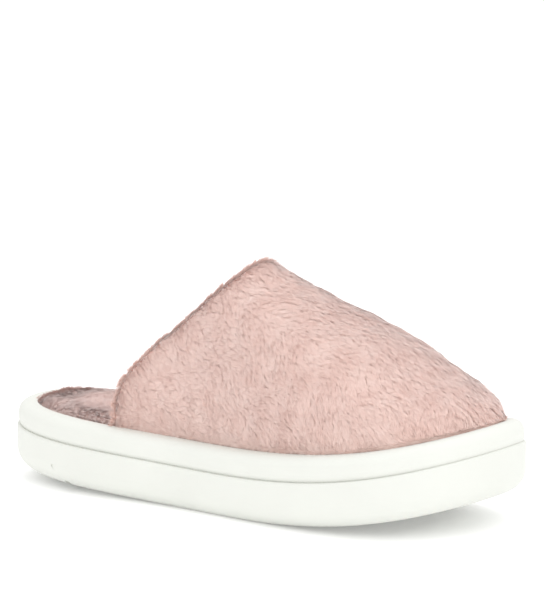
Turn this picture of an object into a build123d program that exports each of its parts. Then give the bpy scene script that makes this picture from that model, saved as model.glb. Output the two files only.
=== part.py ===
"""Backless fluffy house slipper for the right foot.

Frame, in millimetres: +X runs towards the toe, +Y towards the wearer's left, which is the
inner side of this foot, and +Z is up. The origin is at the middle of the bounding box, on
the ground. The sole is a rocker: every layer follows the same curved bottom line, so layers
are cut out of plan outlines by slabs that lie at a height above that line.
"""

import os
from functools import cache
from math import hypot

from build123d import *

# Overall size of the moulded sole
SOLE_LENGTH = 270.0
SOLE_WIDTH = 110.0
HALF_LENGTH = SOLE_LENGTH / 2
HALF_WIDTH = SOLE_WIDTH / 2

# Plan outline, counter-clockwise from the heel's rearmost point, as fractions of half the
# length and half the width. The outer side is at negative Y.
OUTLINE = [
    (-1.00, 0.00),
    (-0.91, -0.52),
    (-0.72, -0.74),
    (-0.20, -0.81),
    (0.40, -1.00),
    (0.74, -0.88),
    (0.93, -0.46),
    (1.00, 0.10),
    (0.91, 0.57),
    (0.64, 0.90),
    (0.30, 1.00),
    (-0.20, 0.71),
    (-0.72, 0.74),
    (-0.91, 0.52),
]

# Rocker line of the underside: (distance along X, height above the ground). The middle is
# below the ground plane, which planes it off into a flat patch to stand on.
ROCKER = [
    (-150.0, 8.6),
    (-132.0, 6.4),
    (-68.0, 1.6),
    (-5.0, -0.9),
    (68.0, 3.4),
    (132.0, 17.8),
    (150.0, 24.0),
]

# Outsole, heights measured above the rocker line
WALL_TOP = 33.0
PARTING_HEIGHT = 21.5
PARTING_STEP = 0.8
PARTING_RADIUS = 1.0
LOWER_RADIUS = 11.0
RIM_WIDTH = 10.0
RIM_OUTER_RADIUS = 5.5
CUP_FLOOR = 14.0

# Tread: curved grooves across the heel and the forefoot, and one flex groove behind the
# arch that runs out through both side walls and leans back as it climbs them
GROOVE_WIDTH = 3.0
GROOVE_DEPTH = 2.8
GROOVE_PITCH = 10.5
GROOVE_BEND = 95.0
TREAD_MARGIN = 16.0
HEEL_GROOVES = 2
HEEL_GROOVES_START = -112.0
FORE_GROOVES = 11
FORE_GROOVES_START = -12.0
FLEX_GROOVE_X = -86.0
FLEX_GROOVE_WIDTH = 2.6
FLEX_GROOVE_TILT = 28.0
FLEX_NOTCH_HEIGHT = 7.0
FLEX_NOTCH_INSET = 3.2
FLEX_CREASE_HEIGHT = 15.0
FLEX_CREASE_INSET = 0.5
FLEX_CREASE_WIDTH = 1.4

# Gap left between neighbouring soft layers, and between the upper and the rim
CLEARANCE = 0.3
UPPER_GAP = 0.7

# Upper: one dome, from outside to inside fur, foam interlining, plush lining
FUR_THICKNESS = 4.2
INTERLINING_THICKNESS = 1.6
LINING_THICKNESS = 2.0
DOME_ANCHOR_X = -100.0

# Level outlines of the dome: (height, length factor, width factor), both of the outline at
# the rim, scaled about the anchor over the heel. Below the first one the wall is upright.
DOME_LEVELS = [
    (51.0, 1.0, 1.0),
    (57.0, 0.984, 0.975),
    (64.0, 0.938, 0.92),
    (72.0, 0.878, 0.855),
    (81.5, 0.80, 0.762),
    (92.0, 0.685, 0.63),
    (100.5, 0.59, 0.51),
    (107.5, 0.52, 0.405),
    (113.5, 0.465, 0.29),
    (120.0, 0.41, 0.14),
]
DOME_WALL_STEPS = 4

# Topline, the edge of the foot opening, seen from the side
TOPLINE = [
    (-62.0, 5.0),
    (-62.0, 33.0),
    (-60.5, 48.0),
    (-28.0, 85.0),
    (2.0, 114.0),
    (22.0, 133.0),
]
BINDING_WIDTH = 3.5

# Footbed, heights measured above the rocker line
BOARD_THICKNESS = 2.0
FOAM_TOP = 30.5
COVER_TOP = 36.0
COVER_SIDE = 3.0
COVER_EDGE_RADIUS = 8.0

# Sewing: short separate stitches, along the binding and round the edge of the board
STITCH_THICKNESS = 0.5
STITCH_WIDTH = 0.9
TOPLINE_STITCH_LENGTH = 3.2
TOPLINE_STITCHES = 36
LASTING_STITCH_REACH = 2.2
LASTING_STITCHES = 140

# Half sizes of the blocks used as cutting tools
TOOL_REACH = 160.0
TOOL_WIDTH = 80.0
TOOL_HEIGHT = 160.0

# Steps of the search for a height on the rocker line
HALVINGS = 16


def inset_points(inset):
    """Points of the plan outline, moved inwards at right angles to the outline."""
    points = [(x * HALF_LENGTH, y * HALF_WIDTH) for x, y in OUTLINE]
    moved = []
    for index, (x, y) in enumerate(points):
        before = points[index - 1]
        after = points[(index + 1) % len(points)]
        along_x = after[0] - before[0]
        along_y = after[1] - before[1]
        length = hypot(along_x, along_y)
        moved.append((x - inset * along_y / length, y + inset * along_x / length))
    return moved


def rocker_height(distance):
    """Height of the rocker line above the ground at a distance along X."""
    line = Spline(*[(x, z) for x, z in ROCKER])
    low, high = 0.0, 1.0
    for _ in range(HALVINGS):
        middle = (low + high) / 2
        if (line @ middle).X < distance:
            low = middle
        else:
            high = middle
    return (line @ low).Y


@cache
def prism(inset):
    """Upright block with the sole's outline, moved inwards by inset."""
    with BuildPart() as block:
        with BuildSketch(Plane.XY.offset(-10)):
            with BuildLine():
                Spline(*inset_points(inset), periodic=True)
            make_face()
        extrude(amount=TOOL_HEIGHT)
    return block.part


@cache
def slab(low, high):
    """Layer between two heights above the rocker line."""
    with BuildPart() as block:
        with BuildSketch(Plane.XZ):
            with BuildLine():
                bottom = Spline(*[(x, z + low) for x, z in ROCKER])
                top = Spline(*[(x, z + high) for x, z in ROCKER])
                Line(bottom @ 0, top @ 0)
                Line(bottom @ 1, top @ 1)
            make_face()
        extrude(amount=TOOL_WIDTH, both=True)
    return block.part


@cache
def dome(inset):
    """Solid dome of the upper, inset from its outer face inside the sole's rim."""
    base = inset_points(RIM_WIDTH + UPPER_GAP + inset)
    wall_top = DOME_LEVELS[0][0]
    shrink = 1 - inset / (DOME_LEVELS[-1][0] - wall_top)
    levels = [(wall_top * step / DOME_WALL_STEPS, 1, 1) for step in range(DOME_WALL_STEPS)]
    levels += [(wall_top + (z - wall_top) * shrink, long, wide) for z, long, wide in DOME_LEVELS]
    with BuildPart() as block:
        for height, stretch, narrow in levels:
            with BuildSketch(Plane.XY.offset(height)):
                with BuildLine():
                    Spline(
                        *[(DOME_ANCHOR_X + (x - DOME_ANCHOR_X) * stretch, y * narrow) for x, y in base],
                        periodic=True,
                    )
                make_face()
        loft()
    return block.part


def ahead_of_topline(gap):
    """Everything ahead of the topline, moved forwards by gap."""
    with BuildPart() as block:
        with BuildSketch(Plane.XZ):
            with BuildLine():
                edge = Spline(*[(x + gap, z) for x, z in TOPLINE])
                Polyline(edge @ 1, (TOOL_REACH, TOPLINE[-1][1]), (TOOL_REACH, 0), edge @ 0)
            make_face()
        extrude(amount=TOOL_WIDTH, both=True)
    return block.part


def behind_topline(gap):
    """Everything behind the topline, moved back by gap."""
    with BuildPart() as block:
        with BuildSketch(Plane.XZ):
            with BuildLine():
                edge = Spline(*[(x - gap, z) for x, z in TOPLINE])
                Polyline(edge @ 1, (-TOOL_REACH, TOPLINE[-1][1]), (-TOOL_REACH, 0), edge @ 0)
            make_face()
        extrude(amount=TOOL_WIDTH, both=True)
    return block.part


def upper_layer(outer, inner, start, end=None):
    """Part of the upper between two insets of the dome, ahead of the topline by start."""
    with BuildPart() as layer:
        add(dome(outer))
        add(dome(inner), mode=Mode.SUBTRACT)
        add(ahead_of_topline(start), mode=Mode.INTERSECT)
        add(slab(CUP_FLOOR + CLEARANCE, TOOL_HEIGHT), mode=Mode.INTERSECT)
        if end is not None:
            add(ahead_of_topline(end), mode=Mode.SUBTRACT)
    return layer.part


# Where each layer of the upper starts and ends, as insets of the dome
FUR_INNER = FUR_THICKNESS
INTERLINING_OUTER = FUR_INNER + CLEARANCE
INTERLINING_INNER = INTERLINING_OUTER + INTERLINING_THICKNESS
LINING_OUTER = INTERLINING_INNER + CLEARANCE
LINING_INNER = LINING_OUTER + LINING_THICKNESS

BOARD_BOTTOM = CUP_FLOOR + CLEARANCE
BOARD_TOP = BOARD_BOTTOM + BOARD_THICKNESS
PAD_BOTTOM = BOARD_TOP + CLEARANCE
SEAM_ROOM = 4 * CLEARANCE + STITCH_THICKNESS


def footbed_space(inset):
    """Room inside the cup and the upright foot of the upper, less inset on every side."""
    with BuildPart() as block:
        add(prism(RIM_WIDTH + UPPER_GAP + LINING_INNER + inset))
        add(behind_topline(inset))
        add(prism(RIM_WIDTH + inset), mode=Mode.INTERSECT)
    return block.part


def rounded_pad(inset, low, high, radius):
    """Layer with the outline of the cup and a rounded upper edge."""
    with BuildPart() as block:
        add(prism(RIM_WIDTH + inset))
        add(slab(low, high), mode=Mode.INTERSECT)
        fillet(block.faces().sort_by(Axis.Z)[-1].edges(), radius)
    return block.part


def grooves(start, count):
    """Curved grooves across the sole, as upright walls, the first one at start."""
    with BuildPart() as walls:
        with BuildSketch():
            for index in range(count):
                middle = start + index * GROOVE_PITCH - GROOVE_BEND
                with Locations((middle, 0)):
                    Circle(GROOVE_BEND + GROOVE_WIDTH / 2)
                    Circle(GROOVE_BEND - GROOVE_WIDTH / 2, mode=Mode.SUBTRACT)
        extrude(amount=TOOL_HEIGHT / 4, both=True)
    return walls.part


def flex_groove(width, height, inset):
    """Leaning slot in both side walls, from the ground up to height, inset deep."""
    with BuildPart() as slot:
        with BuildSketch(Plane.XZ):
            with Locations((FLEX_GROOVE_X, 0)):
                Rectangle(width, 2 * height, rotation=FLEX_GROOVE_TILT)
        extrude(amount=TOOL_WIDTH, both=True)
        add(prism(inset), mode=Mode.SUBTRACT)
    return slot.part


# Outsole: a lower body with a bulging edge, an upper band set back above the parting line
with BuildPart() as lower_body:
    add(prism(0))
    add(slab(0, PARTING_HEIGHT), mode=Mode.INTERSECT)
    fillet(lower_body.faces().sort_by(Axis.Z)[0].edges(), LOWER_RADIUS)
    fillet(lower_body.faces().sort_by(Axis.Z)[-1].edges(), PARTING_RADIUS)

with BuildPart() as upper_band:
    add(prism(PARTING_STEP))
    add(slab(PARTING_HEIGHT - 2 * PARTING_RADIUS, WALL_TOP), mode=Mode.INTERSECT)
    fillet(upper_band.faces().sort_by(Axis.Z)[-1].edges(), RIM_OUTER_RADIUS)

with BuildPart() as cup:
    add(prism(RIM_WIDTH))
    add(slab(CUP_FLOOR, TOOL_HEIGHT), mode=Mode.INTERSECT)

with BuildPart() as tread:
    add(grooves(HEEL_GROOVES_START, HEEL_GROOVES))
    add(grooves(FORE_GROOVES_START, FORE_GROOVES))
    add(prism(TREAD_MARGIN), mode=Mode.INTERSECT)
    with BuildSketch(Plane.XY.offset(-TREAD_MARGIN)):
        with Locations((FLEX_GROOVE_X, 0)):
            Rectangle(FLEX_GROOVE_WIDTH, 2 * TOOL_WIDTH)
    extrude(amount=2 * TREAD_MARGIN)
    add(slab(-TREAD_MARGIN, GROOVE_DEPTH), mode=Mode.INTERSECT)

with BuildPart() as outsole:
    add(lower_body.part)
    add(upper_band.part)
    add(cup.part, mode=Mode.SUBTRACT)
    add(tread.part, mode=Mode.SUBTRACT)
    add(flex_groove(FLEX_GROOVE_WIDTH, FLEX_NOTCH_HEIGHT, FLEX_NOTCH_INSET), mode=Mode.SUBTRACT)
    add(flex_groove(FLEX_CREASE_WIDTH, FLEX_CREASE_HEIGHT, FLEX_CREASE_INSET), mode=Mode.SUBTRACT)
    with BuildSketch(Plane.XY.offset(-TREAD_MARGIN)):
        Rectangle(2 * TOOL_REACH, 2 * TOOL_WIDTH)
    extrude(amount=TREAD_MARGIN, mode=Mode.SUBTRACT)

# Insole board on the cup's floor
with BuildPart() as insole_board:
    add(footbed_space(CLEARANCE))
    add(slab(BOARD_BOTTOM, BOARD_TOP), mode=Mode.INTERSECT)

with BuildPart() as sock_lining:
    add(footbed_space(CLEARANCE + COVER_SIDE))
    add(slab(0, FOAM_TOP), mode=Mode.INTERSECT)

# Plush sock: a thick top with sides that tuck down between the pad and the cup's wall
with BuildPart() as footbed_cover:
    add(rounded_pad(CLEARANCE, BOARD_TOP + SEAM_ROOM, COVER_TOP, COVER_EDGE_RADIUS))
    add(footbed_space(CLEARANCE), mode=Mode.INTERSECT)
    add(sock_lining.part, mode=Mode.SUBTRACT)

# Cushioning pad under the sock
with BuildPart() as footbed_foam:
    add(footbed_space(2 * CLEARANCE + COVER_SIDE))
    add(slab(PAD_BOTTOM, FOAM_TOP - CLEARANCE), mode=Mode.INTERSECT)

# Upper, from outside to inside
with BuildPart() as vamp_shell:
    add(upper_layer(0, FUR_INNER, BINDING_WIDTH + CLEARANCE))

with BuildPart() as vamp_foam:
    add(upper_layer(INTERLINING_OUTER, INTERLINING_INNER, BINDING_WIDTH + CLEARANCE))

with BuildPart() as vamp_lining:
    add(upper_layer(LINING_OUTER, LINING_INNER, BINDING_WIDTH + CLEARANCE))

# Binding along the topline, as deep as the three layers together
with BuildPart() as topline_binding:
    add(upper_layer(0, LINING_INNER, 0, BINDING_WIDTH))

# Stitches along the middle of the binding's inner face, from one side of the sock to the other
with BuildPart() as topline_stitching:
    inner_edges = topline_binding.edges().sort_by(SortBy.LENGTH)[-4:-2]
    seam = inner_edges.sort_by(Axis.X)[-1]
    for index in range(TOPLINE_STITCHES):
        place = seam @ ((index + 0.5) / TOPLINE_STITCHES)
        along = seam % ((index + 0.5) / TOPLINE_STITCHES)
        inward = along.cross(Vector(1, 0, 0)).normalized()
        if inward.Y * place.Y > 0:
            inward = -inward
        centre = place - Vector(BINDING_WIDTH / 2, 0, 0) + inward * (CLEARANCE + STITCH_THICKNESS)
        if centre.Z > rocker_height(centre.X) + COVER_TOP + TOPLINE_STITCH_LENGTH:
            with Locations(Plane(centre, x_dir=along, z_dir=inward)):
                Box(TOPLINE_STITCH_LENGTH, STITCH_WIDTH, STITCH_THICKNESS)

# Overlock stitches that hold the lower edge of the upper to the board, as small bars at right
# angles to the board's edge, in the room left under the sock
with BuildPart() as lasting_stitching:
    with BuildLine(mode=Mode.PRIVATE):
        seam_inset = RIM_WIDTH + UPPER_GAP + LINING_INNER + CLEARANCE + LASTING_STITCH_REACH
        seam = Spline(*inset_points(seam_inset), periodic=True)
    for index in range(LASTING_STITCHES):
        place = seam @ (index / LASTING_STITCHES)
        if place.X > TOPLINE[0][0]:
            centre = (place.X, place.Y, rocker_height(place.X) + BOARD_TOP + SEAM_ROOM / 2)
            with Locations(Plane(centre, x_dir=seam % (index / LASTING_STITCHES), z_dir=(0, 0, 1))):
                Box(STITCH_WIDTH, LASTING_STITCH_REACH, STITCH_THICKNESS)

pieces = {
    "outsole": outsole,
    "insole_board": insole_board,
    "footbed_foam": footbed_foam,
    "footbed_cover": footbed_cover,
    "vamp_shell": vamp_shell,
    "vamp_foam": vamp_foam,
    "vamp_lining": vamp_lining,
    "topline_binding": topline_binding,
    "topline_stitching": topline_stitching,
    "lasting_stitching": lasting_stitching,
}

os.makedirs("parts", exist_ok=True)
for name, piece in pieces.items():
    piece.part.label = name
    export_step(piece.part, f"parts/{name}.step")
    print(name, len(piece.solids()), round(piece.part.volume), piece.part.is_valid)
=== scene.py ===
"""Looks of the fluffy house slipper: faux fur, plush, moulded foam, camera and light."""

import math

import bpy
import numpy as np
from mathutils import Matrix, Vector, noise
from mathutils.kdtree import KDTree


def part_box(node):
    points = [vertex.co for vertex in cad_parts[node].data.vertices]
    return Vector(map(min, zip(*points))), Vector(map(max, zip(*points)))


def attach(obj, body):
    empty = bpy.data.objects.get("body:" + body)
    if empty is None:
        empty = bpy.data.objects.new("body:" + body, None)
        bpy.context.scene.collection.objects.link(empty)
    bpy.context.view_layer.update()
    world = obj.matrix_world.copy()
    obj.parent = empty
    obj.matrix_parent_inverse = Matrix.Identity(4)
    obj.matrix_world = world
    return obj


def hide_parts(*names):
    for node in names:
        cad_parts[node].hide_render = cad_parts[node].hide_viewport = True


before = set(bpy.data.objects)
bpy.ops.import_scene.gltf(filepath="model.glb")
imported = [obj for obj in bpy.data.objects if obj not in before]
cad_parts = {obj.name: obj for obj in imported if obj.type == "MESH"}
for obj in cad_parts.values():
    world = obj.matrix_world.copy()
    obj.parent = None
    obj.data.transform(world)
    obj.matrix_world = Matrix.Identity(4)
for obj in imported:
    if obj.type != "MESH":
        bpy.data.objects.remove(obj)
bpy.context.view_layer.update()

MM = 0.001
UPPER_LOW, UPPER_HIGH = (Vector(corner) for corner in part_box("vamp_shell"))

# Underside of the sole along its length, and the wall's height above it
ROCKER_X = [-132 * MM, -68 * MM, -5 * MM, 68 * MM, 132 * MM]
ROCKER_Z = [6.4 * MM, 1.6 * MM, 0.0, 3.4 * MM, 17.8 * MM]
WALL_TOP = 33 * MM

# Viewing direction, framing and lens
CAMERA_AZIMUTH = math.radians(32.7)
CAMERA_ELEVATION = math.radians(10.75)
CAMERA_DISTANCE = 1.278
AIM = Vector((0.0, 0.0, 0.04))
LOOK_ABOVE = 52.7 * MM
LOOK_RIGHT = 5.4 * MM
SENSOR = 36.0
LENS = 178.0

# Stretches of the upper that each get one object of strands, as fractions of its length
FUR_BANDS = [(0.0, 0.3), (0.3, 0.52), (0.52, 0.74), (0.74, 1.0)]

# Colours, linear
FUR_TONES = [(0.90, 0.69, 0.625), (0.88, 0.66, 0.595), (0.855, 0.625, 0.56), (0.81, 0.575, 0.51)]
PLUSH_TONES = [(0.74, 0.545, 0.50), (0.69, 0.495, 0.45), (0.62, 0.43, 0.385)]
SKIN_COLOUR = (0.82, 0.585, 0.525)
PLUSH_SKIN_COLOUR = (0.62, 0.43, 0.385)
SOLE_COLOUR = (0.75, 0.76, 0.715)

STRAND_MATERIALS = {}


def principled(name, colour, roughness, sheen=0.0):
    """New material with plain values on the shader, and its node tree."""
    material = bpy.data.materials.new(name)
    material.use_nodes = True
    shader = material.node_tree.nodes["Principled BSDF"]
    shader.inputs["Base Color"].default_value = (*colour, 1)
    shader.inputs["Roughness"].default_value = roughness
    shader.inputs["Sheen Weight"].default_value = sheen
    shader.inputs["Sheen Roughness"].default_value = 0.5
    shader.inputs["Specular IOR Level"].default_value = 0.25
    return material


def mottled(name, dark, light, scale, roughness, bump, bump_scale, sheen=0.0):
    """Material whose colour wanders between two tones, with a fine bump."""
    material = principled(name, light, roughness, sheen)
    nodes = material.node_tree.nodes
    links = material.node_tree.links
    shader = nodes["Principled BSDF"]
    place = nodes.new("ShaderNodeTexCoord")
    tone_noise = nodes.new("ShaderNodeTexNoise")
    tone_noise.inputs["Scale"].default_value = scale
    tone_noise.inputs["Detail"].default_value = 6
    ramp = nodes.new("ShaderNodeValToRGB")
    ramp.color_ramp.elements[0].position = 0.3
    ramp.color_ramp.elements[0].color = (*dark, 1)
    ramp.color_ramp.elements[1].position = 0.7
    ramp.color_ramp.elements[1].color = (*light, 1)
    grain = nodes.new("ShaderNodeTexNoise")
    grain.inputs["Scale"].default_value = bump_scale
    grain.inputs["Detail"].default_value = 4
    relief = nodes.new("ShaderNodeBump")
    relief.inputs["Strength"].default_value = bump
    relief.inputs["Distance"].default_value = 0.3 * MM
    links.new(place.outputs["Object"], tone_noise.inputs["Vector"])
    links.new(place.outputs["Object"], grain.inputs["Vector"])
    links.new(tone_noise.outputs["Fac"], ramp.inputs["Fac"])
    links.new(ramp.outputs["Color"], shader.inputs["Base Color"])
    links.new(grain.outputs["Fac"], relief.inputs["Height"])
    links.new(relief.outputs["Normal"], shader.inputs["Normal"])
    return material


def dress(node, material):
    """Give a CAD node another material without touching its mesh."""
    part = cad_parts[node]
    for slot in part.material_slots:
        slot.material = material


def remeshed(name, nodes, voxel, smoothing, material):
    """Soft copy of CAD solids as one closed mesh with rounded edges."""
    corners = []
    faces = []
    for node in nodes:
        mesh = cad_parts[node].data
        faces += [[len(corners) + index for index in face.vertices] for face in mesh.polygons]
        corners += [vertex.co.copy() for vertex in mesh.vertices]
    mesh = bpy.data.meshes.new(name)
    mesh.from_pydata(corners, [], faces)
    piece = bpy.data.objects.new(name, mesh)
    bpy.context.scene.collection.objects.link(piece)
    remesh = piece.modifiers.new("remesh", "REMESH")
    remesh.mode = "VOXEL"
    remesh.voxel_size = voxel
    remesh.use_smooth_shade = True
    smooth = piece.modifiers.new("smooth", "SMOOTH")
    smooth.iterations = smoothing
    smooth.factor = 0.5
    graph = bpy.context.evaluated_depsgraph_get()
    soft = bpy.data.meshes.new_from_object(piece.evaluated_get(graph))
    piece.modifiers.clear()
    piece.data = soft
    soft.name = name
    soft.materials.clear()
    soft.materials.append(material)
    return piece


def ruffle(piece, sink, height, size, seed):
    """Sink a mesh along its normals, and push it in and out by smooth noise."""
    offset = Vector((seed * 7.3, seed * 3.1, seed * 5.7))
    normals = [vertex.normal.copy() for vertex in piece.data.vertices]
    for vertex, normal in zip(piece.data.vertices, normals):
        vertex.co += normal * (height * noise.noise(vertex.co / size + offset) - sink)
    piece.data.update()


def rim_height(points):
    """Lowest a strand's tip may hang: just above the rim's top."""
    return np.interp(points[:, 0], ROCKER_X, ROCKER_Z) + WALL_TOP + 0.3 * MM


def strand_materials(slot, tones):
    """The plain materials of a pile's strands, made once for each slot."""
    if slot not in STRAND_MATERIALS:
        STRAND_MATERIALS[slot] = [
            principled(f"{slot}_strand_{index}", tone, 0.8, 0.8) for index, tone in enumerate(tones)
        ]
    return STRAND_MATERIALS[slot]


def unit(rows):
    """Rows of vectors scaled to length one."""
    return rows / np.maximum(np.linalg.norm(rows, axis=1, keepdims=True), 1e-9)


def surface_points(piece, count, keep, random):
    """Random points on a mesh with their normals, where keep says so."""
    mesh = piece.data
    mesh.calc_loop_triangles()
    corners = np.empty(len(mesh.vertices) * 3)
    mesh.vertices.foreach_get("co", corners)
    corners = corners.reshape(-1, 3)
    normals = np.empty(len(mesh.vertices) * 3)
    mesh.vertices.foreach_get("normal", normals)
    normals = normals.reshape(-1, 3)
    triangles = np.empty(len(mesh.loop_triangles) * 3, dtype=np.int64)
    mesh.loop_triangles.foreach_get("vertices", triangles)
    triangles = triangles.reshape(-1, 3)
    first, second, third = (corners[triangles[:, k]] for k in range(3))
    middle = (first + second + third) / 3
    facing = unit(normals[triangles].mean(axis=1))
    wanted = keep(middle, facing)
    triangles, first, second, third = (a[wanted] for a in (triangles, first, second, third))
    area = np.linalg.norm(np.cross(second - first, third - first), axis=1)
    pick = random.choice(len(triangles), size=count, p=area / area.sum())
    along = np.sqrt(random.random(count))[:, None]
    across = random.random(count)[:, None]
    weights = (1 - along, along * (1 - across), along * across)
    points = sum(w * corners[triangles[pick, k]] for k, w in enumerate(weights))
    facing = unit(sum(w * normals[triangles[pick, k]] for k, w in enumerate(weights)))
    return points, facing


def grow(name, piece, count, length, width, lift, edge_lift, flow, keep, tones, clump, seed, slot):
    """Pile as tapered ribbons, combed along flow and gathered into clumps.

    clump is the number of strands that lean together towards one tip, and
    edge_lift makes the pile stand up where the surface faces the heel.
    """
    random = np.random.default_rng(seed)
    roots, normals = surface_points(piece, count, keep, random)
    comb = flow(roots, normals)
    comb = unit(comb - normals * (comb * normals).sum(axis=1, keepdims=True))
    side = np.cross(normals, comb)

    centres = random.choice(count, size=count // clump, replace=False)
    tree = KDTree(len(centres))
    for index, centre in enumerate(centres):
        tree.insert(roots[centre], index)
    tree.balance()
    nearest = np.array([tree.find(root)[1] for root in roots])
    sway = random.normal(0, 0.22, len(centres))
    # Faces turned towards the heel: there the pile stands up, and its strands get painted light further
    # down.
    edge = np.clip(-1.5 * normals[:, 0] - 0.45, 0, 1)
    rise = lift * (1 + random.normal(0, 0.13, len(centres))) + edge_lift * edge[centres]
    reach = length * random.uniform(0.85, 1.15, len(centres))
    own_sway = sway[nearest] + random.normal(0, 0.18, count)
    own_rise = np.clip(rise[nearest] + random.normal(0, 0.05, count), 0.02, 0.9)
    own_reach = reach[nearest] * random.uniform(0.7, 1.15, count)
    lean = unit(comb + side * own_sway[:, None])
    tips = roots + (lean + normals * own_rise[:, None]) * own_reach[:, None]
    knot = roots[centres] + (
        unit(comb[centres] + side[centres] * sway[:, None]) + normals[centres] * rise[:, None]
    ) * reach[:, None]
    tips = tips + (knot[nearest] - tips) * random.uniform(0.05, 0.28, count)[:, None]
    tips[:, 2] = np.maximum(tips[:, 2], rim_height(tips))
    bend = (roots + tips) / 2 + normals * (0.08 * own_reach)[:, None]
    across = unit(np.cross(tips - roots, normals)) * width * 0.5

    slim = across * 0.8
    corners = np.stack([roots - across, roots + across, bend + slim, bend - slim, tips], axis=1)
    corners = corners.reshape(-1, 3)
    start = np.arange(count)[:, None] * 5
    loops = (start + np.array([0, 1, 2, 3, 3, 2, 4])).ravel()
    starts = (np.arange(count)[:, None] * 7 + np.array([0, 4])).ravel()
    totals = np.tile([4, 3], count)
    mesh = bpy.data.meshes.new(name)
    mesh.vertices.add(len(corners))
    mesh.vertices.foreach_set("co", corners.ravel())
    mesh.loops.add(len(loops))
    mesh.loops.foreach_set("vertex_index", loops)
    mesh.polygons.add(len(starts))
    mesh.polygons.foreach_set("loop_start", starts)
    mesh.polygons.foreach_set("loop_total", totals)
    patch = np.array([noise.noise(Vector(centre) / (11 * MM)) for centre in roots[centres]])
    shade = (0.38 + 0.5 * patch + random.normal(0, 0.07, len(centres)))[nearest]
    # Painted light: in every pile, strands on faces turned towards the heel get lighter tones. This
    # includes the rolled edge of the opening, and it lifts the shade along that edge.
    shade += random.normal(0, 0.12, count) - 0.4 * edge
    tone = np.clip(shade * len(tones), 0, len(tones) - 1).astype(int)
    mesh.polygons.foreach_set("material_index", np.repeat(tone, 2))
    mesh.polygons.foreach_set("use_smooth", np.ones(len(starts), dtype=bool))
    mesh.update(calc_edges=True)
    for material in strand_materials(slot, tones):
        mesh.materials.append(material)
    pile = bpy.data.objects.new(name, mesh)
    bpy.context.scene.collection.objects.link(pile)
    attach(pile, "root")


def fur_flow(points, normals):
    """Fur lies towards the toe at the opening and turns down towards the rim at the toe."""
    way = np.clip((points[:, 0] - UPPER_LOW.x) / (UPPER_HIGH.x - UPPER_LOW.x), 0, 1)
    angle = np.radians(12 + 62 * way**1.3)
    swirl = 0.35 * np.sin(points[:, 0] / (9 * MM) + 2.0 * np.sin(points[:, 2] / (7 * MM)))
    return np.stack([np.cos(angle + swirl), 0 * angle, -np.sin(angle + swirl)], axis=1)


def dome_centre(points):
    """Middle of the dome's cross-section at each point."""
    middle = np.zeros_like(points)
    middle[:, 0] = np.minimum(points[:, 0], UPPER_HIGH.x - 45 * MM)
    middle[:, 2] = 35 * MM
    return middle


def outer_fur(points, normals):
    """The outside of the upper and its rolled edge, above the rim."""
    outward = (normals * unit(points - dome_centre(points))).sum(axis=1) > 0.1
    return (outward | (normals[:, 0] < -0.5)) & (points[:, 2] > 30 * MM)


def inner_plush(points, normals):
    """The inside face of the lining, above the footbed."""
    inward = (normals * unit(points - dome_centre(points))).sum(axis=1) < -0.1
    return inward & (points[:, 2] > 36 * MM)


def plush_flow(points, normals):
    """Plush of the footbed lies in loose swirls towards the toe."""
    angle = 2.4 * np.sin(points[:, 0] / (17 * MM)) * np.cos(points[:, 1] / (13 * MM)) + 0.5
    return np.stack([np.cos(angle), np.sin(angle), 0 * angle], axis=1)


def footbed_top(points, normals):
    """The upper face of the footbed and its rounded edge."""
    return normals[:, 2] > 0.05


def make_upper():
    """Faux-fur upper with its rolled edge, and the plush lining inside it."""
    skin_material = mottled("fur_backing", SKIN_COLOUR, (0.90, 0.67, 0.60), 180, 0.95, 0.5, 900, 0.3)
    skin = remeshed("fur_upper", ["vamp_shell", "topline_binding"], 1.1 * MM, 12, skin_material)
    ruffle(skin, 0.4 * MM, 0.7 * MM, 10 * MM, 1)
    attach(skin, "root")
    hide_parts("vamp_shell", "topline_binding")
    heel_end = UPPER_LOW.x - 5 * MM
    span = UPPER_HIGH.x - UPPER_LOW.x + 10 * MM
    for index, (low, high) in enumerate(FUR_BANDS):
        start = heel_end + span * low
        end = heel_end + span * high

        def in_band(points, normals, start=start, end=end):
            return outer_fur(points, normals) & (points[:, 0] >= start) & (points[:, 0] < end)

        grow(
            f"fur_pile_{index}", skin, 65000, 4.4 * MM, 0.25 * MM, 0.2, 0.3, fur_flow, in_band,
            FUR_TONES, 26, 11 + index, "pink_fur",
        )
    lining_material = mottled("lining_backing", PLUSH_SKIN_COLOUR, SKIN_COLOUR, 200, 0.95, 0.5, 900, 0.3)
    lining = remeshed("plush_lining", ["vamp_lining"], 0.9 * MM, 3, lining_material)
    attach(lining, "root")
    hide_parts("vamp_lining")
    grow(
        "lining_pile", lining, 36000, 2.4 * MM, 0.45 * MM, 0.5, 0.0, fur_flow, inner_plush,
        PLUSH_TONES, 10, 31, "pink_lining",
    )


def make_footbed():
    """Plush sock over the pad."""
    material = mottled("plush_backing", PLUSH_SKIN_COLOUR, (0.76, 0.56, 0.51), 160, 0.95, 0.5, 900, 0.3)
    sock = remeshed("plush_sock", ["footbed_cover"], 1.2 * MM, 6, material)
    ruffle(sock, 0.8 * MM, 1.0 * MM, 12 * MM, 2)
    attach(sock, "root")
    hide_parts("footbed_cover")
    grow(
        "sock_pile", sock, 60000, 3.8 * MM, 0.36 * MM, 0.34, 0.0, plush_flow, footbed_top,
        PLUSH_TONES, 16, 41, "pink_plush",
    )


def make_sole():
    """Moulded foam: matt, very slightly mottled, with a fine skin texture."""
    dress("outsole", mottled("moulded_foam", (0.73, 0.74, 0.695), SOLE_COLOUR, 40, 0.55, 0.12, 1400))


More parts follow.
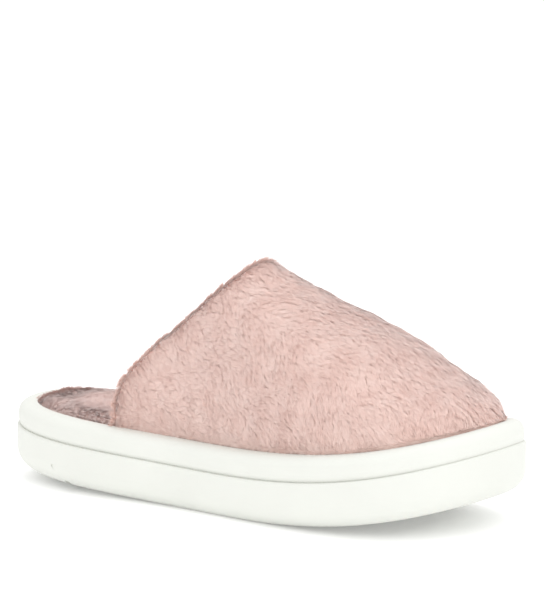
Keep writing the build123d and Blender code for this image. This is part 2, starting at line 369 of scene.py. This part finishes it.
def make_hidden():
    """Materials of the pieces inside."""
    dress("insole_board", mottled("fibre_board", (0.45, 0.36, 0.25), (0.6, 0.5, 0.38), 300, 0.9, 0.4, 900))
    dress("footbed_foam", mottled("pad_foam", (0.75, 0.7, 0.56), (0.85, 0.8, 0.68), 500, 0.9, 0.6, 1200))
    dress("vamp_foam", mottled("interlining", (0.78, 0.74, 0.62), (0.88, 0.84, 0.74), 500, 0.9, 0.6, 1200))
    thread = mottled("pink_thread", (0.5, 0.3, 0.27), (0.7, 0.48, 0.43), 900, 0.7, 0.5, 3000)
    dress("topline_stitching", thread)
    thread = mottled("white_thread", (0.7, 0.68, 0.62), (0.85, 0.83, 0.78), 900, 0.7, 0.5, 3000)
    dress("lasting_stitching", thread)


def make_camera():
    """Camera at the viewing angle, looking a little above the slipper's middle."""
    direction = Vector(
        (
            math.sin(CAMERA_AZIMUTH) * math.cos(CAMERA_ELEVATION),
            -math.cos(CAMERA_AZIMUTH) * math.cos(CAMERA_ELEVATION),
            math.sin(CAMERA_ELEVATION),
        )
    )
    data = bpy.data.cameras.new("camera")
    data.lens = LENS
    data.sensor_width = SENSOR
    data.sensor_fit = "HORIZONTAL"
    right = Vector((math.cos(CAMERA_AZIMUTH), math.sin(CAMERA_AZIMUTH), 0))
    rise = right.cross(-direction)
    look_at = AIM + rise * LOOK_ABOVE + right * LOOK_RIGHT
    camera = bpy.data.objects.new("camera", data)
    camera.location = AIM + direction * CAMERA_DISTANCE
    camera.rotation_euler = (look_at - camera.location).to_track_quat("-Z", "Y").to_euler()
    bpy.context.scene.collection.objects.link(camera)
    bpy.context.scene.camera = camera


def add_area(name, place, size, power):
    """Soft area light aimed at the slipper."""
    data = bpy.data.lights.new(name, "AREA")
    data.shape = "DISK"
    data.size = size
    data.energy = power
    light = bpy.data.objects.new(name, data)
    light.location = place
    light.rotation_euler = (Vector(place) - AIM).to_track_quat("Z", "Y").to_euler()
    bpy.context.scene.collection.objects.link(light)


def make_studio():
    """White floor and world with soft light from above and the front."""
    mesh = bpy.data.meshes.new("floor")
    reach = 30
    mesh.from_pydata(
        [(-reach, -reach, 0), (reach, -reach, 0), (reach, reach, 0), (-reach, reach, 0)], [], [(0, 1, 2, 3)]
    )
    paper = principled("floor", (0.99, 0.99, 0.99), 1.0)
    paper.node_tree.nodes["Principled BSDF"].inputs["Emission Color"].default_value = (1, 1, 1, 1)
    paper.node_tree.nodes["Principled BSDF"].inputs["Emission Strength"].default_value = 0.12
    mesh.materials.append(paper)
    floor = bpy.data.objects.new("floor", mesh)
    bpy.context.scene.collection.objects.link(floor)
    world = bpy.data.worlds.new("studio")
    world.use_nodes = True
    world.node_tree.nodes["Background"].inputs["Color"].default_value = (1, 1, 1, 1)
    world.node_tree.nodes["Background"].inputs["Strength"].default_value = 1.0
    bpy.context.scene.world = world
    add_area("key", (0.95, -0.1, 1.1), 1.0, 2.4)
    add_area("front", (0.4, -1.1, 0.9), 1.2, 2.0)
    add_area("top", (0.0, 0.2, 1.5), 1.2, 4.6)
    scene = bpy.context.scene
    scene.view_settings.view_transform = "Standard"
    scene.view_settings.look = "None"


make_sole()
make_hidden()
make_upper()
make_footbed()
make_camera()
make_studio()
